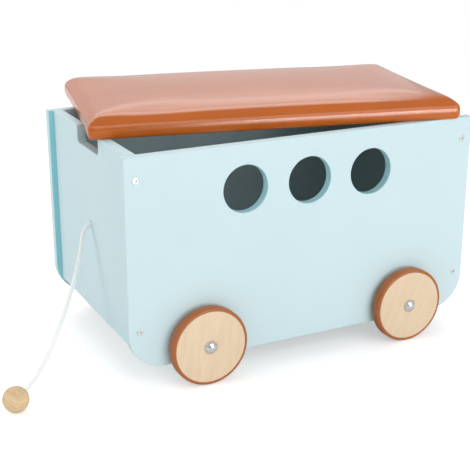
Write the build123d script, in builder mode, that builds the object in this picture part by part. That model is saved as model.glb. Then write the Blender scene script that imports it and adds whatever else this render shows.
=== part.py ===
from build123d import *
from math import cos, pi, radians, sin, tan
import os

# Toy chest on four wheels, with a loose padded lid and a pull cord.
# Millimetres, Z up. The origin is on the floor under the middle of the box.
# The front is towards -Y, and the cord comes out of the left end, at -X.

# Box
box_length = 590.0
box_depth = 352.0
panel_height = 320.0
board_thickness = 15.0
panel_corner_radius = 55.0
edge_rounding = 1.5
end_panel_inset = 9.5
end_panel_lift = 29.0
floor_thickness = 10.0
floor_tongue_thickness = 6.0
floor_lift = 38.0
groove_depth = 5.0
groove_clearance = 0.2

# Portholes in the front and hand grips in the ends
porthole_diameter = 72.0
porthole_pitch = 107.5
porthole_drop = 67.5
porthole_count = 3
grip_width = 94.0
grip_depth = 27.0
grip_corner_radius = 8.0

# Screws and dowels between the panels
screw_head_diameter = 10.0
screw_head_height = 2.6
screw_head_rounding = 0.5
screw_seat_depth = 2.0
screw_shank_diameter = 6.4
screw_length = 50.0
screw_socket_width = 4.0
screw_socket_depth = 1.6
screw_clearance = 0.1
screw_drop = 34.0
screw_rise = 60.0
dowel_diameter = 8.0
dowel_length = 40.0
dowel_in_panel = 10.0
dowel_clearance = 0.05
dowel_offset = 45.0

# Wheels and axles
wheel_diameter = 122.0
wheel_width = 18.0
tyre_thickness = 5.0
tyre_rounding = 2.0
disc_rounding = 1.0
wheel_spread = 353.0
wheel_gap = 6.0
wheel_play = 0.4
axle_rise = 26.0
axle_diameter = 8.0
axle_in_cap = 4.0
bush_diameter = 14.0
spacer_diameter = 18.0
cap_diameter = 20.0
cap_height = 7.0
cap_rim = 1.4
press_clearance = 0.03
running_clearance = 0.08

# Lid, lying loose and a little askew across the rims
lid_length = 584.0
lid_depth = 344.0
lid_corner_radius = 12.0
lid_turn = -12.3
lid_right = 18.0
lid_back = 45.0
lid_board_thickness = 12.0
lid_board_inset = 4.6
cushion_height = 43.0
cushion_edge_tuck = 3.0
cushion_shoulder = 18.0
cushion_crown_run = 140.0
cushion_draw_in = 2.5
cover_thickness = 1.2
hem_width = 32.0
foam_inset = 11.0
foam_thickness = 18.0
lid_clearance = 0.2

# Pull cord, its knot and its ball
cord_diameter = 6.5
cord_hole_diameter = 8.5
knot_diameter = 17.0
knot_length = 11.0
knot_face_diameter = 11.0
ball_diameter = 38.0
ball_bore_clearance = 0.3
ball_place = (-458.0, -151.0)

# Heights and half sizes that follow from the sizes above
axle_z = wheel_diameter / 2
panel_bottom = axle_z - axle_rise
rim_z = panel_bottom + panel_height
end_bottom = panel_bottom + end_panel_lift
floor_z = panel_bottom + floor_lift
half_depth = box_depth / 2
inner_half_depth = half_depth - board_thickness
end_half_length = box_length / 2 - end_panel_inset
inner_half_length = end_half_length - board_thickness
end_middle_x = end_half_length - board_thickness / 2
disc_diameter = wheel_diameter - 2 * tyre_thickness
wheel_inner_y = half_depth + wheel_gap
wheel_outer_y = wheel_inner_y + wheel_width
axle_half_length = wheel_outer_y + wheel_play + axle_in_cap
screw_heights = (panel_bottom + screw_rise, rim_z - screw_drop)
dowel_heights = (screw_heights[0] + dowel_offset, screw_heights[1] - dowel_offset)
cord_hole_z = (end_bottom + rim_z) / 2


def side_plane(side, y):
    # An upright plane that faces outwards from the front (-1) or the back (1), with Z upwards in it.
    return Plane(origin=(0, side * y, 0), x_dir=(-side, 0, 0), z_dir=(0, side, 0))


def end_plane(side, x):
    # An upright plane that faces outwards from the left (-1) or the right (1), with Z upwards in it.
    return Plane(origin=(side * x, 0, 0), x_dir=(0, side, 0), z_dir=(side, 0, 0))


def save(piece, label):
    piece.label = label
    export_step(piece, f"parts/{label}.step")


os.makedirs("parts", exist_ok=True)


# Long panels: rounded lower corners, a groove for the floor, and holes for screws, dowels and axles

joint_places = [(x, z) for x in (-end_middle_x, end_middle_x) for z in screw_heights]
dowel_places = [(x, z) for x in (-end_middle_x, end_middle_x) for z in dowel_heights]
axle_places = [(x, axle_z) for x in (-wheel_spread / 2, wheel_spread / 2)]
groove_height = floor_tongue_thickness + groove_clearance


def long_panel(side, has_portholes):
    inner_face = side_plane(side, inner_half_depth)
    outer_face = side_plane(side, half_depth)
    with BuildPart() as panel:
        with BuildSketch(inner_face) as outline:
            with Locations((0, panel_bottom + panel_height / 2)):
                Rectangle(box_length, panel_height)
            fillet(outline.vertices().group_by(Axis.Y)[0], panel_corner_radius)
            if has_portholes:
                with Locations((0, rim_z - porthole_drop)):
                    with GridLocations(porthole_pitch, 0, porthole_count, 1):
                        Circle(porthole_diameter / 2, mode=Mode.SUBTRACT)
        extrude(amount=board_thickness)
        fillet(panel.faces().filter_by(Axis.Y).edges(), edge_rounding)
        with BuildSketch(inner_face):
            with Locations((0, floor_z + groove_height / 2)):
                Rectangle(2 * (inner_half_length + groove_depth), groove_height)
        extrude(amount=groove_depth, mode=Mode.SUBTRACT)
        with BuildSketch(outer_face):
            with Locations(*joint_places):
                Circle(screw_head_diameter / 2 + screw_clearance)
        extrude(amount=-screw_seat_depth, mode=Mode.SUBTRACT)
        with BuildSketch(outer_face):
            with Locations(*joint_places):
                Circle(screw_shank_diameter / 2 + screw_clearance)
            with Locations(*axle_places):
                Circle(axle_diameter / 2 + press_clearance)
        extrude(amount=-board_thickness, mode=Mode.SUBTRACT)
        with BuildSketch(inner_face):
            with Locations(*dowel_places):
                Circle(dowel_diameter / 2 + dowel_clearance)
        extrude(amount=dowel_in_panel, mode=Mode.SUBTRACT)
    return panel.part


save(long_panel(-1, True), "front_panel")
save(long_panel(1, False), "back_panel")


# End panels: between the long panels, each with a hand grip, and the left one with the cord's hole

screw_in_end = screw_length - (board_thickness - screw_seat_depth) + screw_clearance
dowel_in_end = dowel_length - dowel_in_panel


def end_panel(side, has_cord_hole):
    inner_face = end_plane(side, inner_half_length)
    end_height = rim_z - end_bottom
    with BuildPart() as panel:
        with BuildSketch(inner_face):
            with Locations((0, end_bottom + end_height / 2)):
                Rectangle(2 * inner_half_depth, end_height)
            with BuildSketch(inner_face, mode=Mode.SUBTRACT) as grip:
                with Locations((0, rim_z - grip_depth / 2)):
                    Rectangle(grip_width, grip_depth)
                fillet(grip.vertices().group_by(Axis.Y)[0], grip_corner_radius)
            if has_cord_hole:
                with Locations((0, cord_hole_z)):
                    Circle(cord_hole_diameter / 2, mode=Mode.SUBTRACT)
        extrude(amount=board_thickness)
        free_half = inner_half_depth - edge_rounding
        face_edges = panel.faces().filter_by(Axis.X).edges()
        fillet(face_edges.filter_by(lambda e: abs(e.center().Y) < free_half), edge_rounding)
        with BuildSketch(inner_face):
            with Locations((0, floor_z + groove_height / 2)):
                Rectangle(2 * inner_half_depth, groove_height)
        extrude(amount=groove_depth, mode=Mode.SUBTRACT)
        for face in (-1, 1):
            with BuildSketch(side_plane(face, inner_half_depth)):
                with Locations(*[(-face * side * end_middle_x, z) for z in screw_heights]):
                    Circle(screw_shank_diameter / 2 + screw_clearance)
            extrude(amount=-screw_in_end, mode=Mode.SUBTRACT)
            with BuildSketch(side_plane(face, inner_half_depth)):
                with Locations(*[(-face * side * end_middle_x, z) for z in dowel_heights]):
                    Circle(dowel_diameter / 2 + dowel_clearance)
            extrude(amount=-dowel_in_end, mode=Mode.SUBTRACT)
    return panel.part


save(end_panel(-1, True), "left_end_panel")
save(end_panel(1, False), "right_end_panel")


# Floor board: its tongue is held in the grooves of all four panels, and its top fits between them

with BuildPart() as floor_board:
    with BuildSketch(Plane.XY.offset(floor_z)):
        tongue = groove_depth - groove_clearance
        Rectangle(2 * (inner_half_length + tongue), 2 * (inner_half_depth + tongue))
    extrude(amount=floor_tongue_thickness)
    with BuildSketch(Plane.XY.offset(floor_z)):
        Rectangle(2 * (inner_half_length - groove_clearance), 2 * (inner_half_depth - groove_clearance))
    extrude(amount=floor_thickness)

save(floor_board.part, "floor_board")


# Screws through the long panels into the edges of the end panels

def panel_screws(side):
    seat = side_plane(side, half_depth - screw_seat_depth)
    head_top = side_plane(side, half_depth - screw_seat_depth + screw_head_height)
    with BuildPart() as screws:
        with BuildSketch(seat):
            with Locations(*joint_places):
                Circle(screw_head_diameter / 2)
        extrude(amount=screw_head_height)
        head_faces = screws.faces().sort_by(Axis.Y, reverse=side > 0)[: len(joint_places)]
        fillet(head_faces.edges(), screw_head_rounding)
        with BuildSketch(seat):
            with Locations(*joint_places):
                Circle(screw_shank_diameter / 2)
        extrude(amount=-screw_length)
        with BuildSketch(head_top):
            with Locations(*joint_places):
                RegularPolygon(screw_socket_width / 2, 6, major_radius=False)
        extrude(amount=-screw_socket_depth, mode=Mode.SUBTRACT)
    return screws.part


save(panel_screws(-1), "front_screws")
save(panel_screws(1), "back_screws")


# Dowels hidden in the panel joints

with BuildPart() as joint_dowels:
    for face in (-1, 1):
        with BuildSketch(side_plane(face, inner_half_depth + dowel_in_panel)):
            with Locations(*dowel_places):
                Circle(dowel_diameter / 2)
        extrude(amount=-dowel_length)

save(joint_dowels.part, "joint_dowels")


# Axles: one steel rod across the box at each end, under the floor board

for end_name, axle_x in (("left", -wheel_spread / 2), ("right", wheel_spread / 2)):
    with BuildPart() as axle:
        with BuildSketch(side_plane(1, axle_half_length)):
            with Locations((-axle_x, axle_z)):
                Circle(axle_diameter / 2)
        extrude(amount=-2 * axle_half_length)
    save(axle.part, f"{end_name}_axle")


# Wheels: a wooden disc with a hub bush and a tyre, between a spacer and a domed cap on the axle

def wheel_plane(axle_x, side, y):
    return Plane(origin=(axle_x, side * y, axle_z), x_dir=(-side, 0, 0), z_dir=(0, side, 0))


def ring(plane, outer_diameter, bore_diameter, width):
    with BuildPart() as piece:
        with BuildSketch(plane):
            Circle(outer_diameter / 2)
            Circle(bore_diameter / 2, mode=Mode.SUBTRACT)
        extrude(amount=width)
    return piece


def wheel_disc(axle_x, side):
    bore = bush_diameter + 2 * press_clearance
    disc = ring(wheel_plane(axle_x, side, wheel_inner_y), disc_diameter, bore, wheel_width)
    with disc:
        fillet(disc.edges().filter_by(GeomType.CIRCLE).group_by(SortBy.RADIUS)[-1], disc_rounding)
    return disc.part


def tyre(axle_x, side):
    bore = disc_diameter + 2 * press_clearance
    band = ring(wheel_plane(axle_x, side, wheel_inner_y), wheel_diameter, bore, wheel_width)
    with band:
        fillet(band.edges().filter_by(GeomType.CIRCLE).group_by(SortBy.RADIUS)[-1], tyre_rounding)
    return band.part


def hub_bush(axle_x, side):
    bore = axle_diameter + 2 * running_clearance
    return ring(wheel_plane(axle_x, side, wheel_inner_y), bush_diameter, bore, wheel_width).part


def spacer(axle_x, side):
    bore = axle_diameter + 2 * press_clearance
    return ring(wheel_plane(axle_x, side, half_depth), spacer_diameter, bore, wheel_gap - wheel_play).part


def axle_cap(axle_x, side):
    base = Plane(
        origin=(axle_x, side * (wheel_outer_y + wheel_play), axle_z), x_dir=(1, 0, 0), z_dir=(0, 0, side)
    )
    socket = axle_diameter / 2 + press_clearance
    with BuildPart() as cap:
        with BuildSketch(base):
            with BuildLine():
                Polyline((0, cap_height), (0, axle_in_cap), (socket, axle_in_cap), (socket, 0))
                Polyline((socket, 0), (cap_diameter / 2, 0), (cap_diameter / 2, cap_rim))
                TangentArc((0, cap_height), (cap_diameter / 2, cap_rim), tangent=(1, 0))
            make_face()
        revolve(axis=Axis(base.origin, base.y_dir))
    return cap.part


for corner_name, axle_x, side in (
    ("front_left", -wheel_spread / 2, -1),
    ("front_right", wheel_spread / 2, -1),
    ("back_left", -wheel_spread / 2, 1),
    ("back_right", wheel_spread / 2, 1),
):
    save(wheel_disc(axle_x, side), f"{corner_name}_wheel_disc")
    save(tyre(axle_x, side), f"{corner_name}_tyre")
    save(hub_bush(axle_x, side), f"{corner_name}_hub_bush")
    save(spacer(axle_x, side), f"{corner_name}_spacer")
    save(axle_cap(axle_x, side), f"{corner_name}_axle_cap")


# Lid: a padded leatherette cover over a foam slab and a board, with its hem turned under the board

lid_plane = Plane(
    origin=(lid_right, lid_back, rim_z),
    x_dir=(cos(radians(lid_turn)), sin(radians(lid_turn)), 0),
    z_dir=(0, 0, 1),
)
lid_board_top = cover_thickness + lid_board_thickness
crown_width = cushion_crown_run - cushion_shoulder

# Each row is a level of the cushion: its inset from the outline, its share of the height,
# and its share of the draw-in at the middles of its sides.
cushion_levels = (
    (cushion_edge_tuck, 0.0, 0.0),
    (0.15 * cushion_edge_tuck, 0.14, 0.0),
    (0.0, 0.30, 0.2),
    (0.08 * cushion_shoulder, 0.51, 0.5),
    (0.33 * cushion_shoulder, 0.70, 0.8),
    (cushion_shoulder, 0.85, 1.0),
    (cushion_shoulder + 0.22 * crown_width, 0.935, 1.0),
    (cushion_shoulder + 0.58 * crown_width, 0.985, 1.0),
    (cushion_crown_run, 1.0, 1.0),
)


def cushion_outline(inset, draw_in):
    # A rounded rectangle whose four sides are drawn in at their middles.
    x = lid_length / 2 - inset
    y = lid_depth / 2 - inset
    with BuildSketch(Plane.XY, mode=Mode.PRIVATE) as outline:
        with BuildLine():
            if draw_in > 0:
                ThreePointArc((-x, -y), (0, -y + draw_in), (x, -y))
                ThreePointArc((x, -y), (x - draw_in, 0), (x, y))
                ThreePointArc((x, y), (0, y - draw_in), (-x, y))
                ThreePointArc((-x, y), (-x + draw_in, 0), (-x, -y))
            else:
                Polyline((-x, -y), (x, -y), (x, y), (-x, y), close=True)
        make_face()
        fillet(outline.vertices(), lid_corner_radius)
    return outline.sketch


def lid_slab(inset, base, thickness):
    # A slab with the lid's outline, inset, from a height above the rims.
    with BuildPart() as slab:
        with BuildSketch(lid_plane.offset(base)):
            RectangleRounded(lid_length - 2 * inset, lid_depth - 2 * inset, lid_corner_radius)
        extrude(amount=thickness)
    return slab.part


hem_window = lid_slab(hem_width, 0, cover_thickness)
board_pocket = lid_slab(lid_board_inset - lid_clearance, cover_thickness, lid_board_thickness)
foam_pocket = lid_slab(foam_inset - lid_clearance, lid_board_top, foam_thickness + lid_clearance)

with BuildPart() as lid_cover:
    for inset, height_share, draw_share in cushion_levels:
        with BuildSketch(lid_plane.offset(height_share * cushion_height)):
            add(cushion_outline(inset, draw_share * cushion_draw_in))
    loft(ruled=True)
    add(hem_window, mode=Mode.SUBTRACT)
    add(board_pocket, mode=Mode.SUBTRACT)
    add(foam_pocket, mode=Mode.SUBTRACT)

save(lid_cover.part, "lid_cover")
save(lid_slab(lid_board_inset, cover_thickness, lid_board_thickness), "lid_board")
save(lid_slab(foam_inset, lid_board_top, foam_thickness), "lid_foam")


# Pull cord: out of the left end, down under its own weight, and out along the floor to the ball

ball_centre = (*ball_place, ball_diameter / 2)
cord_points = [
    (-inner_half_length, 0, cord_hole_z),
    (-end_half_length - 3.5, 0, cord_hole_z),
    (-301.5, -9, 201),
    (-309, -19.5, 180),
    (-320, -30.5, 154),
    (-337, -45.5, 121),
    (-358, -63.5, 88),
    (-383, -85.5, 57),
    (-411, -110, 32),
    (-438, -133.5, 20),
    ball_centre,
]


def bend_radii(points):
    # The largest arc at each corner that leaves a short straight between it and the next.
    places = [Vector(*p) for p in points]
    radii = []
    for before, here, after in zip(places, places[1:], places[2:]):
        turn = radians((here - before).get_angle(after - here))
        shorter = min((here - before).length, (after - here).length)
        radii.append(0.45 * shorter / tan(turn / 2))
    return radii


cord_radii = bend_radii(cord_points)

with BuildPart() as pull_cord:
    with BuildLine() as cord_route:
        FilletPolyline(*cord_points, radius=cord_radii)
    with BuildSketch(Plane(origin=cord_points[0], x_dir=(0, 1, 0), z_dir=(-1, 0, 0))):
        Circle(cord_diameter / 2)
    sweep()

cord_length = cord_route.wires()[0].length
cord_section = pi * cord_diameter**2 / 4
print("cord bend radii", [round(r, 1) for r in cord_radii])
print("cord length", round(cord_length, 1), "volume over section times length",
      round(pull_cord.part.volume / (cord_section * cord_length), 4))
save(pull_cord.part, "pull_cord")

with BuildPart() as cord_knot:
    knot_base = Plane(origin=cord_points[0], x_dir=(0, 1, 0), z_dir=(0, 0, -1))
    with BuildSketch(knot_base):
        with BuildLine():
            Polyline((0, knot_length), (0, 0), (knot_face_diameter / 2, 0))
            ThreePointArc(
                (knot_face_diameter / 2, 0),
                (knot_diameter / 2, knot_length / 2),
                (knot_face_diameter / 2, knot_length),
            )
            Line((knot_face_diameter / 2, knot_length), (0, knot_length))
        make_face()
    revolve(axis=Axis(knot_base.origin, knot_base.y_dir))

save(cord_knot.part, "cord_knot")

with BuildPart() as pull_ball:
    with Locations(ball_centre):
        Sphere(ball_diameter / 2)
    bore_direction = Vector(*cord_points[-2]) - Vector(*ball_centre)
    with BuildSketch(Plane(origin=ball_centre, z_dir=bore_direction)):
        Circle(cord_diameter / 2 + ball_bore_clearance)
    extrude(amount=ball_diameter, mode=Mode.SUBTRACT)

save(pull_ball.part, "pull_ball")
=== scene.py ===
import math
import bmesh
import bpy
import numpy as np
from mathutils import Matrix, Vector


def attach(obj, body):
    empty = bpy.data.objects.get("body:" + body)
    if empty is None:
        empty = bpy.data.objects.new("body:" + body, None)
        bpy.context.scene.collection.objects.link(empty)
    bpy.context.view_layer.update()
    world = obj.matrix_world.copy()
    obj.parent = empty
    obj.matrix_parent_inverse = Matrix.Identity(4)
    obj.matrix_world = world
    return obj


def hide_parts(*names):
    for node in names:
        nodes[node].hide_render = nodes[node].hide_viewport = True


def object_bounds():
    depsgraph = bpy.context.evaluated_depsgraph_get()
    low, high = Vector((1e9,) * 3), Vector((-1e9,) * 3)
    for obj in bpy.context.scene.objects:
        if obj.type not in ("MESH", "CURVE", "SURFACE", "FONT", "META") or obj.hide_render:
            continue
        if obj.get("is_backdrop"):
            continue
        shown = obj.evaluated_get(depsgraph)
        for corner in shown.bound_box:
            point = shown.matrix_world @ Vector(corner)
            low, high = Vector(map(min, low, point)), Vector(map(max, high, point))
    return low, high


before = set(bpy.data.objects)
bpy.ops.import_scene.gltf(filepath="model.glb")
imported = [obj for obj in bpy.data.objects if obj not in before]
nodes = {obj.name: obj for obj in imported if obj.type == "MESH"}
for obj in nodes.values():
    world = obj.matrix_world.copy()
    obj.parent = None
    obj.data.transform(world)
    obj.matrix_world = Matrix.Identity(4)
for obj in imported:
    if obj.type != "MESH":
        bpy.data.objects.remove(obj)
cadLow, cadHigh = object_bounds()
scene = bpy.context.scene
scene.view_settings.view_transform = "Standard"
corners = {  # wheel: place of its axle along the box, and its side, -1 at the front
    "front_left": (-0.1765, -1),
    "front_right": (0.1765, -1),
    "back_left": (-0.1765, 1),
    "back_right": (0.1765, 1),
}
print("frame loaded:", len(nodes), "nodes")


# camera at the photograph's viewing angle
photoView = {"place": (-0.78138, -1.48557, 0.72251), "tilt": 71.067, "turn": -26.604, "lens": 81.28}
cameraData = bpy.data.cameras.new("photoCamera")
cameraData.sensor_width = 36.0
cameraData.lens = photoView["lens"]
camera = bpy.data.objects.new("photoCamera", cameraData)
camera.location = photoView["place"]
camera.rotation_euler = (math.radians(photoView["tilt"]), 0.0, math.radians(photoView["turn"]))
scene.collection.objects.link(camera)
scene.camera = camera
print("camera set")


# shader maths: a Link is one socket, and an expression on Links adds its Math nodes
class Link:
    def __init__(self, tree, socket):
        self.tree = tree
        self.socket = socket

    def math(self, operation, first, second=0.0):
        step = self.tree.nodes.new("ShaderNodeMath")
        step.operation = operation
        for place, value in enumerate((first, second)):
            if isinstance(value, Link):
                self.tree.links.new(value.socket, step.inputs[place])
            else:
                step.inputs[place].default_value = value
        return Link(self.tree, step.outputs[0])

    def __add__(self, other):
        return self.math("ADD", self, other)

    def __radd__(self, other):
        return self.math("ADD", other, self)

    def __sub__(self, other):
        return self.math("SUBTRACT", self, other)

    def __rsub__(self, other):
        return self.math("SUBTRACT", other, self)

    def __mul__(self, other):
        return self.math("MULTIPLY", self, other)

    def __rmul__(self, other):
        return self.math("MULTIPLY", other, self)

    def __abs__(self):
        return self.math("ABSOLUTE", self)

    def __round__(self):
        return self.math("ROUND", self)

    def smooth(self, low, high):  # 0 below low, 1 above high, eased between
        step = self.tree.nodes.new("ShaderNodeMapRange")
        step.interpolation_type = "SMOOTHSTEP"
        self.tree.links.new(self.socket, step.inputs["Value"])
        step.inputs["From Min"].default_value = low
        step.inputs["From Max"].default_value = high
        return Link(self.tree, step.outputs["Result"])


class Nodes:  # a node tree, filled through node(): type, settings, then values or Links of its sockets
    def __init__(self, tree):
        self.tree = tree
        tree.nodes.clear()

    def node(self, kind, settings=None, inputs=None, output=0):
        made = self.tree.nodes.new(kind)
        for key, value in (settings or {}).items():
            setattr(made, key, value)
        for key, value in (inputs or {}).items():
            if isinstance(value, Link):
                self.tree.links.new(value.socket, made.inputs[key])
            else:
                made.inputs[key].default_value = value
        return Link(self.tree, made.outputs[output]) if made.outputs else made


class Finish(Nodes):  # a material round one Principled shader; what is fixed goes straight onto its sockets
    def __init__(self, name, **fixed):
        self.material = bpy.data.materials.new(name)
        self.material.use_nodes = True
        super().__init__(self.material.node_tree)
        shader = self.node("ShaderNodeBsdfPrincipled")
        self.shader = shader.socket.node
        self.node("ShaderNodeOutputMaterial", inputs={"Surface": shader})
        for key, value in fixed.items():
            self.shader.inputs[key.replace("_", " ")].default_value = value

    def feed(self, socket, value):
        self.tree.links.new(value.socket, self.shader.inputs[socket])

    def place(self, shift=(0, 0, 0), turn=(0, 0, 0), stretch=(1, 1, 1), source="Object"):
        coords = self.node("ShaderNodeTexCoord", output=source)
        return self.node(
            "ShaderNodeMapping",
            {"vector_type": "TEXTURE"},
            {"Vector": coords, "Location": shift, "Rotation": turn, "Scale": stretch},
        )

    def noise(self, where, scale, detail=3.0, roughness=0.5, distortion=0.0):
        sockets = {"Vector": where, "Scale": scale, "Detail": detail, "Roughness": roughness}
        return self.node("ShaderNodeTexNoise", None, {**sockets, "Distortion": distortion})

    def cells(self, where, scale):  # distance to the nearest edge between cells
        settings = {"feature": "DISTANCE_TO_EDGE"}
        return self.node("ShaderNodeTexVoronoi", settings, {"Vector": where, "Scale": scale})

    def axis(self, where, letter):
        return self.node("ShaderNodeSeparateXYZ", None, {"Vector": where}, letter)

    def mix(self, share, first, second):  # sockets 6 and 7 are the two colours, and output 2 is the mixed one
        colours = [colour if isinstance(colour, Link) else (*colour, 1.0) for colour in (first, second)]
        return self.node("ShaderNodeMix", {"data_type": "RGBA"}, {0: share, 6: colours[0], 7: colours[1]}, 2)

    def relief(self, height, depth, strength):
        bump = self.node("ShaderNodeBump", None, {"Height": height, "Distance": depth, "Strength": strength})
        self.feed("Normal", bump)


# finishes
def paintFinish():
    look = {
        "colour": (0.604, 0.750, 0.785),
        "deep": (0.582, 0.734, 0.772),
        "stepShade": (0.29, 0.655, 0.715),  # painted shade: a deeper teal in the steps outside the end boards
        "holeWallShade": (0.45, 0.77, 0.83),  # and painted shade, a deeper teal, on the walls of the portholes
        "stepFrom": 0.2856, "innerFace": 0.1613,  # where a step begins, and just past a long board's inner face
        "pitch": 0.1075, "holeHeight": 0.2875, "holeRadius": 0.03602,  # the portholes
        "frontFrom": (0.10, 0.12), "holesEnd": (0.155, 0.160),  # the front board, and the reach of its portholes
        "blend": 0.0004,  # width in which one tone goes over into the next
    }
    paint = Finish("paleBluePaint", Specular_IOR_Level=0.18)
    where = paint.place()
    cloud = paint.noise(where, 5.0, 3.0)
    peel = paint.noise(where, 420.0, 2.0)
    roll = paint.noise(where, 70.0, 4.0, 0.6)
    across, inward, up = (paint.axis(where, letter) for letter in "XYZ")
    # a step lies past the end boards, on the inner face of a long board; it is painted with shade
    pastEnds = abs(across).smooth(look["stepFrom"], look["stepFrom"] + look["blend"])
    # mask of the painted shade in the steps
    stepShade = pastEnds * (1.0 - abs(inward).smooth(look["innerFace"], look["innerFace"] + look["blend"]))
    # a porthole's wall lies within its radius, round the nearest of three middles in the front board, and takes
    # painted shade
    nearest = round(across * (1 / look["pitch"]))
    aside, above = across - look["pitch"] * nearest, up - look["holeHeight"]
    rim, outside = look["holeRadius"], look["holeRadius"] + look["blend"]
    inHole = 1.0 - (aside * aside + above * above).smooth(rim**2, outside**2)
    holeWallShade = inHole * (-1.0 * inward).smooth(*look["frontFrom"]) * (1.0 - abs(across).smooth(*look["holesEnd"]))
    plain = paint.mix(cloud.smooth(0.3, 0.7), look["deep"], look["colour"])
    # painted shade: the steps and the porthole walls are mixed into a deeper teal over the plain paint
    paint.feed("Base Color", paint.mix(holeWallShade, paint.mix(stepShade, plain, look["stepShade"]), look["holeWallShade"]))
    paint.feed("Roughness", 0.47 + 0.10 * roll + 0.05 * peel)
    paint.relief(0.6 * peel + 0.4 * roll, 0.00012, 0.35)
    return paint.material


def beechFinish(name, colour, dark, source, shift=(0, 0, 0), turn=(0, 0, 0)):
    # size of a streak and of a fleck in metres, across, along and across the grain
    grain = {"streak": (0.011, 0.11, 0.011), "fleck": (0.0007, 0.0042, 0.0007)}
    wood = Finish(name, Specular_IOR_Level=0.4)
    where = wood.place(shift, turn, source=source)
    along = wood.place(shift, turn, grain["streak"], source)
    fleckPlace = wood.place(shift, turn, grain["fleck"], source)
    drift = wood.noise(where, 14.0, 2.0)
    streak = wood.noise(along, 1.6, 5.0, 0.6, 0.4)
    fine = wood.noise(along, 9.0, 3.0, 0.6)
    fleck = wood.noise(fleckPlace, 1.0, 1.0).smooth(0.62, 0.72)
    tone = 0.55 * streak + 0.25 * fine + 0.2 * drift
    plain = wood.mix(tone.smooth(0.36, 0.66), dark, colour)
    wood.feed("Base Color", wood.mix(0.35 * fleck, plain, tuple(0.72 * c for c in dark)))
    wood.feed("Roughness", 0.40 + 0.16 * fine + 0.1 * fleck)
    wood.relief(0.7 * fine - 0.6 * fleck + 0.3 * streak, 0.00012, 0.3)
    return wood.material


def rubberFinish():
    look = {"colour": (0.398, 0.118, 0.024), "worn": (0.440, 0.144, 0.038)}
    rubber = Finish("caramelRubber", Specular_IOR_Level=0.45)
    where = rubber.place()
    dust = rubber.noise(where, 38.0, 4.0, 0.6)
    grain = rubber.noise(where, 900.0, 2.0)
    rubber.feed("Base Color", rubber.mix(dust.smooth(0.42, 0.75), look["colour"], look["worn"]))
    rubber.feed("Roughness", 0.28 + 0.14 * dust + 0.06 * grain)
    rubber.relief(grain, 0.00008, 0.35)
    return rubber.material


def leatheretteFinish():
    look = {
        "colour": (0.535, 0.119, 0.004), "deep": (0.490, 0.104, 0.003), "poreShade": (0.27, 0.05, 0.002),
        "warp": 0.002,  # metres by which the cells are bent
    }
    hide = Finish("caramelLeatherette", Specular_IOR_Level=0.62)
    where = hide.place()
    warp = hide.noise(where, 180.0, 2.0)
    sockets = {0: warp, 1: (look["warp"],) * 3, 2: where}
    bent = hide.node("ShaderNodeVectorMath", {"operation": "MULTIPLY_ADD"}, sockets)
    pores = hide.cells(bent, 620.0)
    crease = hide.cells(bent, 260.0)
    cloud = hide.noise(where, 9.0, 3.0)
    fine = hide.noise(where, 1500.0, 2.0)
    valley = 1.0 - pores.smooth(0.0, 0.16)
    line = 1.0 - crease.smooth(0.0, 0.07)
    base = hide.mix(cloud.smooth(0.3, 0.72), look["deep"], look["colour"])
    # painted shade: the grain's pores and fine creases are mixed towards a dark colour
    hide.feed("Base Color", hide.mix(0.16 * valley + 0.10 * line, base, look["poreShade"]))
    hide.feed("Roughness", 0.11 + 0.05 * cloud + 0.05 * valley)
    hide.relief(0.16 * fine - 0.55 * valley - 0.35 * line, 0.00010, 0.16)
    return hide.material


def metalFinish(name, colour, rough, scratch):
    metal = Finish(name, Metallic=1.0)
    where = metal.place()
    lines = metal.noise(where, 1400.0, 2.0, 0.6)
    cloud = metal.noise(where, 60.0, 3.0)
    dull = tuple(0.92 * c for c in colour)
    metal.feed("Base Color", metal.mix(cloud.smooth(0.3, 0.8), dull, colour))
    metal.feed("Roughness", rough + scratch * lines + 0.5 * scratch * cloud)
    metal.relief(lines, 0.00002, 0.2)
    return metal.material


def plasticFinish():
    look = {"colour": (0.79, 0.78, 0.73), "deep": (0.72, 0.71, 0.66)}
    shell = Finish("offWhitePlastic", Specular_IOR_Level=0.45)
    where = shell.place()
    grain = shell.noise(where, 700.0, 2.0)
    cloud = shell.noise(where, 40.0, 3.0)
    shell.feed("Base Color", shell.mix(cloud, look["deep"], look["colour"]))
    shell.feed("Roughness", 0.42 + 0.12 * grain)
    shell.relief(grain, 0.00006, 0.3)
    return shell.material


def fibreFinish():
    look = {"colour": (0.53, 0.385, 0.24), "deep": (0.40, 0.27, 0.155), "strand": (0.02, 0.004, 0.004)}
    panel = Finish("fibreBoard", Specular_IOR_Level=0.3)
    fibre = panel.noise(panel.place(stretch=look["strand"]), 3.0, 6.0, 0.65)
    speck = panel.noise(panel.place(), 600.0, 2.0)
    panel.feed("Base Color", panel.mix(fibre.smooth(0.3, 0.7), look["deep"], look["colour"]))
    panel.feed("Roughness", 0.68 + 0.14 * speck)
    panel.relief(0.6 * fibre + 0.4 * speck, 0.0002, 0.3)
    return panel.material


def cordFinish():
    look = {"low": (0.91, 0.915, 0.92), "high": (0.95, 0.955, 0.96), "groove": (0.70, 0.71, 0.725)}
    yarn = Finish("whiteBraid", Specular_IOR_Level=0.25, Sheen_Weight=0.25, Sheen_Roughness=0.5)
    where = yarn.place()
    weave = yarn.node("ShaderNodeAttribute", {"attribute_name": "weave"}, output="Fac")
    fuzz = yarn.noise(where, 2600.0, 2.0)
    cloud = yarn.noise(where, 120.0, 3.0)
    strand = yarn.mix(cloud, look["low"], look["high"])
    # painted shade: the braid is darkened where its strands dip under each other
    yarn.feed("Base Color", yarn.mix(weave.smooth(0.25, 0.8), look["groove"], strand))
    yarn.feed("Roughness", 0.78 + 0.15 * fuzz)
    yarn.relief(fuzz, 0.00012, 0.35)
    return yarn.material


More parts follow.
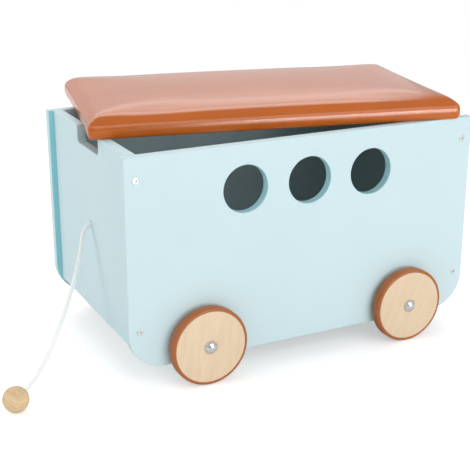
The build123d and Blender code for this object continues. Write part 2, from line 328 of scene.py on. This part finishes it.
paint = paintFinish()
leatherette = leatheretteFinish()
rubber = rubberFinish()
chrome = metalFinish("polishedChrome", (0.74, 0.74, 0.75), 0.06, 0.06)
steel = metalFinish("zincSteel", (0.80, 0.81, 0.83), 0.20, 0.12)
plastic = plasticFinish()
fibre = fibreFinish()
braid = cordFinish()
discWood = beechFinish("discBeech", (0.785, 0.615, 0.44), (0.73, 0.555, 0.38), "UV")
ballGrain = {"shift": (-0.458, -0.151, 0.019), "turn": (0.5, 0.3, 0.9)}  # centred on the ball, at a slant
ballWood = beechFinish("ballBeech", (0.78, 0.60, 0.375), (0.63, 0.43, 0.22), "Object", **ballGrain)
dowelWood = beechFinish("dowelBeech", (0.72, 0.55, 0.35), (0.62, 0.45, 0.27), "Object")
print("finishes made")


# finishes of the solids that stay as they are
solidFinish = {
    paint: ["front_panel", "back_panel", "left_end_panel", "right_end_panel", "floor_board"],
    steel: ["front_screws", "back_screws", "left_axle", "right_axle"],
    fibre: ["lid_board"],
    dowelWood: ["joint_dowels"],
    plastic: [f"{corner}_{kind}" for corner in corners for kind in ("hub_bush", "spacer")],
}
for finish, names in solidFinish.items():
    for name in names:
        for materialSlot in nodes[name].material_slots:
            materialSlot.material = finish
print("solids dressed")


# mesh helpers
def quadFaces(rows, columns, closeRows=False, closeColumns=False):  # quads between neighbours on a grid
    rowStarts = np.arange(rows if closeRows else rows - 1)
    columnStarts = np.arange(columns if closeColumns else columns - 1)
    row, column = np.meshgrid(rowStarts, columnStarts, indexing="ij")
    nextRow, nextColumn = (row + 1) % rows, (column + 1) % columns
    turns = ((row, column), (nextRow, column), (nextRow, nextColumn), (row, nextColumn))
    return np.stack([r * columns + c for r, c in turns], -1).reshape(-1, 4)


def addPiece(name, points, faces, finish, sharp=None):  # joins points that meet and turns all faces outwards
    mesh = bpy.data.meshes.new(name)
    mesh.from_pydata(np.reshape(points, (-1, 3)).tolist(), [], [list(face) for face in faces])
    shape = bmesh.new()
    shape.from_mesh(mesh)
    bmesh.ops.remove_doubles(shape, verts=shape.verts, dist=1e-6)
    bmesh.ops.dissolve_degenerate(shape, edges=shape.edges, dist=1e-7)
    bmesh.ops.recalc_face_normals(shape, faces=shape.faces)
    shape.to_mesh(mesh)
    shape.free()
    mesh.shade_smooth()
    if sharp:
        mesh.set_sharp_from_angle(angle=math.radians(sharp))
    mesh.materials.append(finish)
    piece = bpy.data.objects.new(name, mesh)
    scene.collection.objects.link(piece)
    return piece


def flatMap(piece, mapping, *settings):  # writes a UV map that is a function of each point's place
    mesh = piece.data
    places = np.empty(len(mesh.vertices) * 3, np.float32)
    mesh.vertices.foreach_get("co", places)
    ends = np.empty(len(mesh.loops), np.int32)
    mesh.loops.foreach_get("vertex_index", ends)
    mapped = mapping(places.reshape(-1, 3), *settings)
    layer = mesh.uv_layers.new(name="grain")
    layer.data.foreach_set("uv", mapped[ends].astype(np.float32).ravel())


def roundedSection(low, high, near, far, soft, steps):
    # outline of a ring's section, radius from low to high and width from near to far,
    # each corner a quarter circle of its own radius in the order given by soft
    angles = np.linspace(0.0, math.pi / 2, steps)
    places = ((high, near, -90), (high, far, 0), (low, far, 90), (low, near, 180))  # and where its arc starts
    section = []
    for (radius, width, start), r in zip(places, soft):
        middleRadius = radius - math.copysign(r, radius - (low + high) / 2)
        middleWidth = width - math.copysign(r, width - (near + far) / 2)
        turn = angles + math.radians(start)
        section.append(np.stack([middleRadius + r * np.cos(turn), middleWidth + r * np.sin(turn)], -1))
    return np.concatenate(section)


def turnedPiece(name, section, centre, side, finish, closed, sharp=35.0, segments=144):
    # a turned shape: section point (r, w) goes round the axle to centre + (r cos a, side w, r sin a)
    angle = np.linspace(0.0, 2 * math.pi, segments, endpoint=False)[:, None]
    radius, width = section[:, 0], section[:, 1]
    points = np.stack([radius * np.cos(angle), side * width + 0 * angle, radius * np.sin(angle)], -1)
    faces = quadFaces(segments, len(section), True, closed)
    return addPiece(name, points + np.array(centre), faces, finish, sharp)


# wheels: wooden disc, rubber tyre and domed cap, turned about the axle
wheel = {
    "axleHeight": 0.061, "inner": 0.182, "outer": 0.200,
    "bore": 0.00703, "disc": 0.056, "tyre": 0.061, "tyreBore": 0.05603,
    "discSoft": (0.001, 0.001, 0.0003, 0.0003),  # rounding of the rim's two edges, then of the bore's
    "tyreSoft": (0.0034, 0.0034, 0.0006, 0.0006),
    "discSteps": 5, "tyreSteps": 9, "capRings": 22,  # points on each rounding, and rings on the dome
    "crown": 0.0006,  # fall of the tread from its middle to its sides
    "capFoot": 0.2004, "capRadius": 0.010, "capHeight": 0.007, "capRim": 0.0014,
    "capEdge": 0.0002, "capEase": 0.06,  # rounding of the cap's foot, and radians by which the dome stops short
    "axleEnd": 0.0040, "axleFit": 0.00403,
    "grainShift": 3.0,  # metres in the board for each radian of a disc's turn
}
grainTurn = {"front_left": 8.0, "front_right": 27.0, "back_left": 70.0, "back_right": -20.0}  # degrees


def discSection():
    near, far, low, high = wheel["inner"], wheel["outer"], wheel["bore"], wheel["disc"]
    return roundedSection(low, high, near, far, wheel["discSoft"], wheel["discSteps"])


def tyreSection():
    # a rounded ring whose radius falls by the crown times the square of the place across the tread
    near, far, low, high = wheel["inner"], wheel["outer"], wheel["tyreBore"], wheel["tyre"]
    outline = roundedSection(low, high, near, far, wheel["tyreSoft"], wheel["tyreSteps"])
    across = (outline[:, 1] - (near + far) / 2) / ((far - near) / 2)
    tread = np.clip((outline[:, 0] - low) / (high - low), 0.0, 1.0)
    outline[:, 0] -= wheel["crown"] * tread * across**2
    return outline


def capSection():
    # a ball's cap on a short rim, hollow where the axle's end goes in
    radius, rim, edge = wheel["capRadius"], wheel["capRim"], wheel["capEdge"]
    rise = wheel["capHeight"] - rim
    ball = (radius**2 + rise**2) / (2 * rise)
    angle = np.linspace(0.0, math.asin(radius / ball) - wheel["capEase"], wheel["capRings"])
    dome = np.stack([ball * np.sin(angle), wheel["capHeight"] - ball * (1 - np.cos(angle))], -1)
    foot = np.array([
        (radius - 0.6 * edge, rim - 0.5 * edge), (radius, rim - 2 * edge), (radius, edge), (radius - edge, 0.0),
        (wheel["axleFit"], 0.0), (wheel["axleFit"], wheel["axleEnd"]), (0.0, wheel["axleEnd"]),
    ])
    return np.concatenate([dome, foot]) + np.array([0.0, wheel["capFoot"]])


def discGrain(points, axleX, turn):
    # places across and along the grain: the disc's face turned by its own angle, at its own place in the board
    x, z = points[:, 0] - axleX, points[:, 2] - wheel["axleHeight"]
    across = x * math.cos(turn) - z * math.sin(turn) + wheel["grainShift"] * turn
    along = x * math.sin(turn) + z * math.cos(turn)
    return np.stack([across, along], -1)


for corner, (axleX, side) in corners.items():
    centre = (axleX, 0.0, wheel["axleHeight"])
    spot = corner.replace("_left", "Left").replace("_right", "Right")
    disc = turnedPiece(f"{spot}WheelDisc", discSection(), centre, side, discWood, True)
    flatMap(disc, discGrain, axleX, math.radians(grainTurn[corner]))
    tyre = turnedPiece(f"{spot}Tyre", tyreSection(), centre, side, rubber, True, 60.0)
    cap = turnedPiece(f"{spot}AxleCap", capSection(), centre, side, chrome, False, 40.0, 96)
    for piece, body, node, finishSlot in (
        (disc, f"{corner}_wheel", f"{corner}_wheel_disc", "plain_wood"),
        (tyre, f"{corner}_wheel", f"{corner}_tyre", "tyre_rubber"),
        (cap, "box", f"{corner}_axle_cap", "chrome"),
    ):
        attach(piece, body)
        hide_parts(node)
print("wheels turned")


# pull cord: a braided tube on the smooth spline of its route, with a knot inside the box and a ball outside
pullCord = {
    "route": (
        (-0.2705, 0.0, 0.2095), (-0.289, 0.0, 0.2095), (-0.3015, -0.009, 0.201), (-0.309, -0.0195, 0.180),
        (-0.320, -0.0305, 0.154), (-0.337, -0.0455, 0.121), (-0.358, -0.0635, 0.088), (-0.383, -0.0855, 0.057),
        (-0.411, -0.110, 0.032), (-0.438, -0.1335, 0.020), (-0.458, -0.151, 0.019),
    ),
    "exit": (-0.2855, 0.0, 0.2095), "length": 0.327, "radius": 0.00325,
    "across": (0.63, -0.78, 0.0),  # level, and square to the plane it hangs in
    "step": 0.00045, "around": 48,
    "strands": 8, "turnLength": 0.022, "relief": 0.16, "sink": 0.28,  # how far a strand dips under another
}


def routePath(route, step):  # evenly spaced places on the smooth curve that the route's points control
    curve = bpy.data.curves.new("cordRoute", "CURVE")
    curve.dimensions = "3D"
    curve.resolution_u = 24
    spline = curve.splines.new("NURBS")
    spline.points.add(len(route) - 1)
    spline.points.foreach_set("co", np.c_[np.array(route), np.ones(len(route))].ravel())
    spline.order_u = 3
    spline.use_endpoint_u = True
    holder = bpy.data.objects.new("cordRoute", curve)
    scene.collection.objects.link(holder)
    line = bpy.data.meshes.new_from_object(holder.evaluated_get(bpy.context.evaluated_depsgraph_get()))
    places = np.empty(len(line.vertices) * 3, np.float32)
    line.vertices.foreach_get("co", places)
    places = places.reshape(-1, 3).astype(float)
    bpy.data.objects.remove(holder)
    bpy.data.curves.remove(curve)
    bpy.data.meshes.remove(line)
    run = np.r_[0.0, np.cumsum(np.linalg.norm(np.diff(places, axis=0), axis=1))]
    even = np.linspace(0.0, run[-1], int(run[-1] / step) + 1)
    return np.stack([np.interp(even, run, places[:, axis]) for axis in range(3)], -1)


def unit(vectors):
    return vectors / np.linalg.norm(vectors, axis=-1, keepdims=True)


def braidHeight(around, along, strands):
    # two families of strands wind opposite ways; each is a half-round that goes over and under the other in turn,
    # as the cosine of how far it has come across the other's strands
    sink = pullCord["sink"]
    first = strands * around / (2 * math.pi) + along
    second = strands * around / (2 * math.pi) - along
    firstCell, secondCell = np.floor(first), np.floor(second)
    firstRound = np.sqrt(np.clip(1 - (2 * (first - firstCell) - 1) ** 2, 0, 1))
    secondRound = np.sqrt(np.clip(1 - (2 * (second - secondCell) - 1) ** 2, 0, 1))
    firstLift = firstRound * (1 - sink + sink * np.cos(math.pi * (second - 0.5 + firstCell)))
    secondLift = secondRound * (1 - sink - sink * np.cos(math.pi * (first - 0.5 + secondCell)))
    return np.maximum(firstLift, secondLift)


def braidedTube(name, path, across, closed):
    # ring k is path[k] + r (cos u side + sin u lift), where r swells with the strand on top
    ahead = np.roll(path, -1, 0) - np.roll(path, 1, 0) if closed else np.gradient(path, axis=0)
    tangent = unit(ahead)
    sideways = unit(np.cross(tangent, np.array(across)))
    lift = np.cross(tangent, sideways)
    angle = np.linspace(0.0, 2 * math.pi, pullCord["around"], endpoint=False)[None, :]
    steps = np.arange(len(path))[:, None] / (len(path) if closed else len(path) - 1)
    runLength = np.linalg.norm(np.diff(path, axis=0), axis=1).sum()
    turns = round(runLength / pullCord["turnLength"]) * pullCord["strands"]
    height = braidHeight(angle, turns * steps, pullCord["strands"])
    radius = pullCord["radius"] * (1 - pullCord["relief"] + pullCord["relief"] * height)
    outward = np.cos(angle)[..., None] * sideways[:, None] + np.sin(angle)[..., None] * lift[:, None]
    points = path[:, None] + radius[..., None] * outward
    faces = quadFaces(*height.shape, closed, True).tolist()
    if not closed:
        count = pullCord["around"]
        faces += [list(range(count))[::-1], list(range(len(path) * count - count, len(path) * count))]
    mesh = bpy.data.meshes.new(name)
    mesh.from_pydata(points.reshape(-1, 3).tolist(), [], faces)
    weave = mesh.attributes.new("weave", "FLOAT", "POINT")
    weave.data.foreach_set("value", height.ravel().astype(np.float32))
    shape = bmesh.new()
    shape.from_mesh(mesh)
    bmesh.ops.recalc_face_normals(shape, faces=shape.faces)
    shape.to_mesh(mesh)
    shape.free()
    mesh.shade_smooth()
    mesh.materials.append(braid)
    tube = bpy.data.objects.new(name, mesh)
    scene.collection.objects.link(tube)
    return tube


cordPath = routePath(pullCord["route"], pullCord["step"])
cord = braidedTube("pullCord", cordPath, pullCord["across"], False)
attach(cord, "box")
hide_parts("pull_cord")

knotShape = {"centre": (-0.2649, 0.0, 0.2095), "spread": 0.00172, "swell": 0.0027, "points": 420}


def knotPath():
    # a threefold knot drawn tight: it winds twice round the cord's line while it goes in and out three times
    t = np.linspace(0.0, 2 * math.pi, knotShape["points"], endpoint=False)
    y = knotShape["spread"] * (np.sin(t) + 2 * np.sin(2 * t))
    z = knotShape["spread"] * (np.cos(t) - 2 * np.cos(2 * t))
    x = -knotShape["swell"] * np.sin(3 * t)
    return np.stack([x, y, z], -1) + np.array(knotShape["centre"])


knot = braidedTube("cordKnot", knotPath(), (1.0, 0.0, 0.0), True)
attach(knot, "box")
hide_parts("cord_knot")

pullBall = {
    "centre": (-0.458, -0.151, 0.019), "radius": 0.019, "bore": 0.00355, "edge": 0.0006,
    "segments": 128, "rings": 72,
}


def ballSection():
    # half a circle from the far pole to the bore's mouth, a small rounded edge, then the blind bore
    r, bore, edge = pullBall["radius"], pullBall["bore"], pullBall["edge"]
    mouth = math.asin((bore + edge) / r)
    angle = np.linspace(math.pi, mouth, pullBall["rings"])
    outside = np.stack([r * np.sin(angle), r * np.cos(angle)], -1)
    top = r * math.cos(mouth)
    inside = np.array([(bore + 0.3 * edge, top - 0.15 * edge), (bore, top - 0.8 * edge), (bore, 0.0), (0.0, 0.0)])
    return np.concatenate([outside, inside])


def turnedBall():
    # the section goes round the z axis, which is then leaned to where the cord comes from
    section = ballSection()
    axis = Vector(pullCord["route"][-2]) - Vector(pullBall["centre"])
    lean = np.array(axis.to_track_quat("Z", "Y").to_matrix())
    angle = np.linspace(0.0, 2 * math.pi, pullBall["segments"], endpoint=False)[:, None]
    radius, height = section[:, 0], section[:, 1]
    points = np.stack([radius * np.cos(angle), radius * np.sin(angle), height + 0 * angle], -1)
    faces = quadFaces(pullBall["segments"], len(section), True, False)
    return addPiece("pullBall", points @ lean.T + np.array(pullBall["centre"]), faces, ballWood, 50.0)


ball = turnedBall()
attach(ball, "box")
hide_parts("pull_ball")
pullCord["exit"]
pullCord["length"]
2 * pullCord["radius"]
[tuple(p) for p in cordPath[::8].tolist()] + [tuple(cordPath[-1].tolist())]
print("cord braided")


# lid: leatherette drawn over foam and a board, simulated as cloth above the board's edge
lid = {
    "length": 0.584, "depth": 0.344, "corner": 0.0075, "place": (0.018, 0.045, 0.355), "turn": -12.3,
    "cell": 0.0062, "fineTo": 0.033,  # size of a cell, and the inset up to which the lines follow the table over
    "crease": 0.0110, "firm": 0.0190,  # heights of the board's upper edge, and up to which nothing swells
    "drawIn": 0.0022, "drawPower": 8,  # drawing in of the sides, and how fast it fades towards the middle
    "diagonal": 6.0,  # power that rounds the inset on the diagonals
    # inset and height from the board's edge over the shoulder to the middle, before the cloth swells
    "over": (
        (0.0, 0.0110), (0.00004, 0.0120), (0.00012, 0.0133), (0.00023, 0.0147), (0.00036, 0.0161), (0.00051, 0.0175),
        (0.0008, 0.0190), (0.00135, 0.0205), (0.00222, 0.0220), (0.00363, 0.0238), (0.00546, 0.0258),
        (0.00726, 0.0276), (0.00919, 0.0294), (0.01124, 0.0310), (0.0136, 0.0323), (0.0167, 0.0333),
        (0.0211, 0.0340), (0.0265, 0.0345), (0.033, 0.0349), (0.060, 0.0364), (0.100, 0.0379), (0.140, 0.0388),
        (0.172, 0.0390),
    ),
    # inset and height from the board's edge down and under to the hem's inner edge
    "under": (
        (0.0, 0.0110), (0.00003, 0.0096), (0.00015, 0.0078), (0.0004, 0.0055), (0.0008, 0.0035), (0.0014, 0.0018),
        (0.0022, 0.0007), (0.0034, 0.0001), (0.0050, 0.0), (0.012, 0.0), (0.020, 0.0), (0.028, 0.0),
        (0.0316, 0.0), (0.032, 0.0003), (0.032, 0.0013),
    ),
    # faint pulls where the cover goes under, up to an inset: depth, wave and start of each
    "pullsTo": 0.002, "pulls": ((0.00022, 0.0545, 0.0), (0.00016, 0.031, 1.7)),
    "frames": 20, "cap": 0.0018, "calm": 24,  # length of the simulation, most travel in metres, rounds of easing
    "cloth": {
        "quality": 8, "mass": 0.25, "tension_stiffness": 60, "compression_stiffness": 60, "shear_stiffness": 30,
        "bending_stiffness": 40, "use_pressure": True, "uniform_pressure_force": 2.0, "vertex_group_mass": "held",
    },
}


def lidPlan(x, y):
    # the rectangle's corners are bent onto quarter circles, and its sides drawn in a little at their middles
    halfX, halfY, r = lid["length"] / 2, lid["depth"] / 2, lid["corner"]
    overX, overY = np.abs(x) - (halfX - r), np.abs(y) - (halfY - r)
    inCorner = (overX > 0) & (overY > 0)
    larger = np.maximum(np.maximum(overX, overY), 1e-12)
    angle = np.where(overX >= overY, overY / larger, 2 - overX / larger) * math.pi / 4
    roundX = np.sign(x) * (halfX - r + larger * np.cos(angle))
    roundY = np.sign(y) * (halfY - r + larger * np.sin(angle))
    newX, newY = np.where(inCorner, roundX, x), np.where(inCorner, roundY, y)
    alongX, alongY = newX / halfX, newY / halfY
    drawnX = newX - lid["drawIn"] * np.sign(newX) * np.abs(alongX) ** lid["drawPower"] * (1 - alongY**2)
    drawnY = newY - lid["drawIn"] * np.sign(newY) * np.abs(alongY) ** lid["drawPower"] * (1 - alongX**2)
    return drawnX, drawnY


def lidInsets(half):  # the table's own insets near the edge, then even steps to the middle
    edge = np.array([inset for inset, height in lid["over"] if inset <= lid["fineTo"]])
    count = int(round((half - edge[-1]) / lid["cell"]))
    return np.r_[edge, np.linspace(edge[-1], half, count + 1)[1:]]


def lidGrid():
    # top of the lid on a grid of lines that run parallel to its sides, closest together near the edge
    insetX, insetY = lidInsets(lid["length"] / 2), lidInsets(lid["depth"] / 2)
    lineX = np.r_[-(lid["length"] / 2 - insetX), (lid["length"] / 2 - insetX)[-2::-1]]
    lineY = np.r_[-(lid["depth"] / 2 - insetY), (lid["depth"] / 2 - insetY)[-2::-1]]
    return np.meshgrid(lineX, lineY, indexing="ij")


def lidTop():
    # the height is read from the table by the inset, the lesser distance to a side, eased by a power sum
    x, y = lidGrid()
    fromX, fromY = lid["length"] / 2 - np.abs(x), lid["depth"] / 2 - np.abs(y)
    soft = lid["diagonal"]
    inset = (np.maximum(fromX, 1e-9) ** -soft + np.maximum(fromY, 1e-9) ** -soft) ** (-1 / soft)
    table = np.array(lid["over"])
    height = np.interp(inset, table[:, 0], table[:, 1])
    planX, planY = lidPlan(x, y)
    return np.stack([planX, planY, height], -1)


def edgeLoop(grid):  # a grid's border, once round
    return np.concatenate([grid[:-1, 0], grid[-1, :-1], grid[:0:-1, -1], grid[0, :0:-1]])


def lidWall():
    # each row is the border shrunk by the row's inset; sines along the border push it out, more the lower it is
    planX, planY = lidPlan(*(edgeLoop(line) for line in lidGrid()))
    halfX, halfY = lid["length"] / 2, lid["depth"] / 2
    inset, height = np.array(lid["under"]).T[..., None]
    run = np.cumsum(np.hypot(np.diff(planX, append=planX[:1]), np.diff(planY, append=planY[:1])))
    pull = sum(depth * np.sin(run * 2 * math.pi / wave + start) for depth, wave, start in lid["pulls"])
    share = (inset < lid["pullsTo"]) * np.clip((lid["crease"] - height) / lid["crease"], 0, 1)
    push = 1 + pull * share / halfY
    rowX, rowY = planX * (1 - inset / halfX) * push, planY * (1 - inset / halfY) * push
    return np.stack([rowX, rowY, height + 0 * rowX], -1)


def lidSurface():
    # top, then the wall under its border, then a flat closing sheet on the wall's last loop, inside the board
    top, wall = lidTop(), lidWall()
    rows, columns = wall.shape[:2]
    topFaces = quadFaces(top.shape[0], top.shape[1])
    start = top.shape[0] * top.shape[1]
    wallFaces = quadFaces(rows, columns, False, True) + start
    inset, height = lid["under"][-1]
    shrink = np.array([1 - 2 * inset / lid["length"], 1 - 2 * inset / lid["depth"], 0.0])
    sheet = top * shrink + np.array([0.0, 0.0, height])
    sheetFaces = topFaces[:, ::-1] + start + rows * columns
    points = np.concatenate([part.reshape(-1, 3) for part in (top, wall, sheet)])
    return points, np.concatenate([topFaces, wallFaces, sheetFaces]).tolist()


def lidPlace(points):  # from the lid's own middle to its place on the rims
    cosine, sine = math.cos(math.radians(lid["turn"])), math.sin(math.radians(lid["turn"]))
    spin = np.array([[cosine, -sine, 0.0], [sine, cosine, 0.0], [0.0, 0.0, 1.0]])
    return points @ spin.T + np.array(lid["place"])


def swellCloth(piece):
    # the leatherette above the board's edge swells under the foam's push; the edge and what is under it stay
    mesh = piece.data
    rest = np.empty(len(mesh.vertices) * 3, np.float32)
    mesh.vertices.foreach_get("co", rest)
    rest = rest.reshape(-1, 3)
    held = piece.vertex_groups.new(name=lid["cloth"]["vertex_group_mass"])
    low = np.flatnonzero(rest[:, 2] < lid["place"][2] + lid["firm"])
    held.add(low.tolist(), 1.0, "REPLACE")
    cloth = piece.modifiers.new("swell", "CLOTH")
    for key, value in lid["cloth"].items():
        setattr(cloth.settings, key, value)
    cloth.settings.effector_weights.gravity = 0.0
    cloth.collision_settings.use_collision = False
    cloth.point_cache.frame_start, cloth.point_cache.frame_end = 1, lid["frames"]
    for step in range(1, lid["frames"] + 1):
        scene.frame_set(step)
    moved = bpy.data.meshes.new_from_object(piece.evaluated_get(bpy.context.evaluated_depsgraph_get()))
    swollen = np.empty_like(rest)
    moved.vertices.foreach_get("co", swollen.reshape(-1))
    bpy.data.meshes.remove(moved)
    piece.modifiers.remove(cloth)
    scene.frame_set(1)
    travel = swollen - rest
    reach = np.linalg.norm(travel, axis=1, keepdims=True)
    print(f"cloth moved {1000 * reach.max():.2f} mm at most, {1000 * reach.mean():.2f} mean")
    travel *= np.minimum(1.0, lid["cap"] / np.maximum(reach, 1e-9))
    ends = np.empty(len(mesh.edges) * 2, np.int32)
    mesh.edges.foreach_get("vertices", ends)
    first, second = ends.reshape(-1, 2).T
    count = np.bincount(ends, minlength=len(rest))[:, None]
    # each point's travel goes halfway to its neighbours' mean, again and again, so folds stay faint
    for step in range(lid["calm"]):
        around = np.zeros_like(travel)
        np.add.at(around, first, travel[second])
        np.add.at(around, second, travel[first])
        travel = 0.5 * travel + 0.5 * around / count
        travel[low] = 0.0
    mesh.vertices.foreach_set("co", (rest + travel).astype(np.float32).ravel())
    piece.vertex_groups.clear()
    mesh.update()


lidPoints, lidFaces = lidSurface()
cushion = addPiece("lidCushion", lidPlace(lidPoints), lidFaces, leatherette)
swellCloth(cushion)
finer = cushion.modifiers.new("finer", "SUBSURF")
finer.levels = finer.render_levels = 1
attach(cushion, "lid")
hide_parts("lid_cover", "lid_foam")

# staples that hold the hem to the lid's board
staple = {
    "long": 0.0115, "wide": 0.0013, "thick": 0.0006, "proud": 0.00012, "inset": 0.021, "spacing": 0.041,
    "square": 0.35, "rings": 13, "sides": 12,
    "bend": 60.0, "bendFrom": 0.0042,  # its ends rise by bend times the square of the length past bendFrom
    "lean": 0.10, "leanWave": 2.3,  # radians each is askew, as a sine of its number
    "stray": 0.0012, "strayWave": 1.7, "strayStart": 0.6,  # and metres off its line
}


def stapleRow(half):  # evenly spaced places on one side of the hem
    return np.linspace(-half, half, 2 * round(2 * half / staple["spacing"]) + 1)[1::2]


def squared(value):  # a sine or cosine pushed towards its ends, which squares a round section
    return np.sign(value) * np.abs(value) ** staple["square"]


def stapleMesh():
    # each staple is a rounded bar whose ends bend up into the board,
    # a superellipsoid of its length, width and thickness
    halfX, halfY = lid["length"] / 2 - staple["inset"], lid["depth"] / 2 - staple["inset"]
    longRow, shortRow = stapleRow(halfX), stapleRow(halfY)
    x = np.r_[longRow, longRow, np.full(len(shortRow), -halfX), np.full(len(shortRow), halfX)]
    y = np.r_[np.full(len(longRow), -halfY), np.full(len(longRow), halfY), shortRow, shortRow]
    count = np.arange(len(x))
    lean = np.r_[np.zeros(2 * len(longRow)), np.full(2 * len(shortRow), math.pi / 2)]
    lean = lean + staple["lean"] * np.sin(staple["leanWave"] * count)
    off = staple["stray"] * np.sin(staple["strayWave"] * count + staple["strayStart"])
    rings, sides = staple["rings"], staple["sides"]
    latitude = np.linspace(-math.pi / 2, math.pi / 2, rings)
    longitude = np.linspace(0, 2 * math.pi, sides, endpoint=False)
    ring, run = np.meshgrid(latitude, longitude, indexing="ij")
    along = staple["long"] / 2 * squared(np.sin(ring))
    waist = np.abs(np.cos(ring)) ** staple["square"]
    across = staple["wide"] / 2 * waist * squared(np.cos(run))
    rise = staple["thick"] / 2 * (1 + waist * squared(np.sin(run))) - staple["proud"]
    rise = rise + staple["bend"] * np.maximum(np.abs(along) - staple["bendFrom"], 0) ** 2
    cosine, sine = np.cos(lean)[:, None, None], np.sin(lean)[:, None, None]
    px = (x + off * np.sin(lean))[:, None, None] + along * cosine - across * sine
    py = (y + off * np.cos(lean))[:, None, None] + along * sine + across * cosine
    points = np.stack([px, py, np.broadcast_to(rise, px.shape)], -1)
    one = quadFaces(rings, sides, False, True)
    faces = (one[None] + (count * rings * sides)[:, None, None]).reshape(-1, 4)
    return lidPlace(points.reshape(-1, 3)), faces.tolist()


stapled = addPiece("lidStaples", *stapleMesh(), steel, 50.0)
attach(stapled, "lid")
print("lid upholstered")


# pale floor, white surroundings and soft studio light
studio = {
    "sky": 0.50, "shine": 0.24,  # strength of the surroundings, and how white they are in reflections
    "floor": (0.90, 0.90, 0.90), "reach": 9.0, "lift": 0.38,  # lift is added light that only the camera sees
    "fade": (0.9, 2.2),  # distances between which the floor goes over into white
    "lamps": (  # place, aim, width, height, power
        ((0.5, -3.3, 1.9), (0.0, 0.0, 0.2), 3.6, 3.0, 58.0),
        ((0.55, -3.2, 0.24), (0.1, 0.0, 0.24), 1.2, 0.28, 14.0),
        ((-2.9, 0.9, 1.7), (0.0, 0.0, 0.2), 2.2, 2.2, 36.0),
        ((0.5, 1.9, 2.7), (0.0, 0.0, 0.3), 2.8, 1.8, 31.0),
        ((0.8, 3.3, 1.4), (0.0, 0.0, 0.3), 3.8, 2.4, 7.0),
        ((0.8, 3.1, 1.75), (0.0, 0.0, 0.35), 3.4, 0.7, 7.0),
    ),
    "card": {"place": (-0.9, -5.2, 1.0), "half": (2.6, 1.3), "tone": 0.03},
}


def newTree(name, mesh):
    material = bpy.data.materials.new(name)
    material.use_nodes = True
    mesh.materials.append(material)
    return material.node_tree


def makeFloor():
    reach = studio["reach"]
    mesh = bpy.data.meshes.new("studioFloor")
    places = [(-reach, -reach, 0), (reach, -reach, 0), (reach, reach, 0), (-reach, reach, 0)]
    mesh.from_pydata(places, [], [(0, 1, 2, 3)])
    made = Nodes(newTree("studioFloor", mesh))
    path = made.node("ShaderNodeLightPath", output="Is Camera Ray")
    matt = made.node("ShaderNodeBsdfDiffuse", None, {"Color": (*studio["floor"], 1.0)})
    glow = made.node("ShaderNodeEmission", None, {"Color": (1, 1, 1, 1), "Strength": path * studio["lift"]})
    both = made.node("ShaderNodeAddShader", None, {0: matt, 1: glow})
    white = made.node("ShaderNodeEmission", None, {"Color": (1, 1, 1, 1), "Strength": 1.0})
    where = made.node("ShaderNodeTexCoord", output="Object")
    away = made.node("ShaderNodeVectorMath", {"operation": "LENGTH"}, {0: where}, "Value")
    fade = made.node("ShaderNodeMixShader", None, {0: path * away.smooth(*studio["fade"]), 1: both, 2: white})
    below = made.node("ShaderNodeNewGeometry", output="Backfacing")
    clear = made.node("ShaderNodeBsdfTransparent")
    shown = made.node("ShaderNodeMixShader", None, {0: path * below, 1: fade, 2: clear})
    made.node("ShaderNodeOutputMaterial", inputs={"Surface": shown})
    floor = bpy.data.objects.new("studioFloor", mesh)
    scene.collection.objects.link(floor)
    floor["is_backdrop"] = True


def makeSky():
    world = bpy.data.worlds.new("studioSky")
    world.use_nodes = True
    scene.world = world
    made = Nodes(world.node_tree)
    camera = made.node("ShaderNodeLightPath", output="Is Camera Ray")
    gloss = made.node("ShaderNodeLightPath", output="Is Glossy Ray")
    clear = made.node("ShaderNodeLightPath", output="Is Transmission Ray")
    seen = camera + clear + studio["shine"] * gloss
    lit = made.node("ShaderNodeBackground", None, {"Color": (1, 1, 1, 1), "Strength": studio["sky"]})
    white = made.node("ShaderNodeBackground", None, {"Color": (1, 1, 1, 1), "Strength": 1.0})
    both = made.node("ShaderNodeMixShader", None, {0: seen, 1: lit, 2: white})
    made.node("ShaderNodeOutputWorld", inputs={"Surface": both})


def makeLamps():
    for count, (place, aim, width, height, power) in enumerate(studio["lamps"]):
        lampData = bpy.data.lights.new(f"softLamp{count}", "AREA")
        lampData.shape = "RECTANGLE"
        lampData.size, lampData.size_y = width, height
        lampData.energy = power
        lamp = bpy.data.objects.new(f"softLamp{count}", lampData)
        lamp.location = place
        lamp.rotation_euler = (Vector(aim) - Vector(place)).to_track_quat("-Z", "Y").to_euler()
        lamp.visible_camera = False
        scene.collection.objects.link(lamp)


def makeCard():  # a dark card behind the camera, seen only in reflections
    card = studio["card"]
    (x, y, z), (wide, tall) = card["place"], card["half"]
    left, right, low, high = x - wide, x + wide, z - tall, z + tall
    mesh = bpy.data.meshes.new("darkCard")
    mesh.from_pydata([(left, y, low), (right, y, low), (right, y, high), (left, y, high)], [], [(0, 1, 2, 3)])
    made = Nodes(newTree("darkCard", mesh))
    matt = made.node("ShaderNodeBsdfDiffuse", None, {"Color": (card["tone"],) * 3 + (1.0,)})
    made.node("ShaderNodeOutputMaterial", inputs={"Surface": matt})
    flag = bpy.data.objects.new("darkCard", mesh)
    flag.visible_camera = flag.visible_diffuse = flag.visible_shadow = False
    scene.collection.objects.link(flag)
    flag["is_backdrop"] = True


makeFloor()
makeSky()
makeLamps()
makeCard()
print("studio lit")

seenLow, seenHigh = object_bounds()
{"cad": [list(cadLow), list(cadHigh)], "visual": [list(seenLow), list(seenHigh)]}
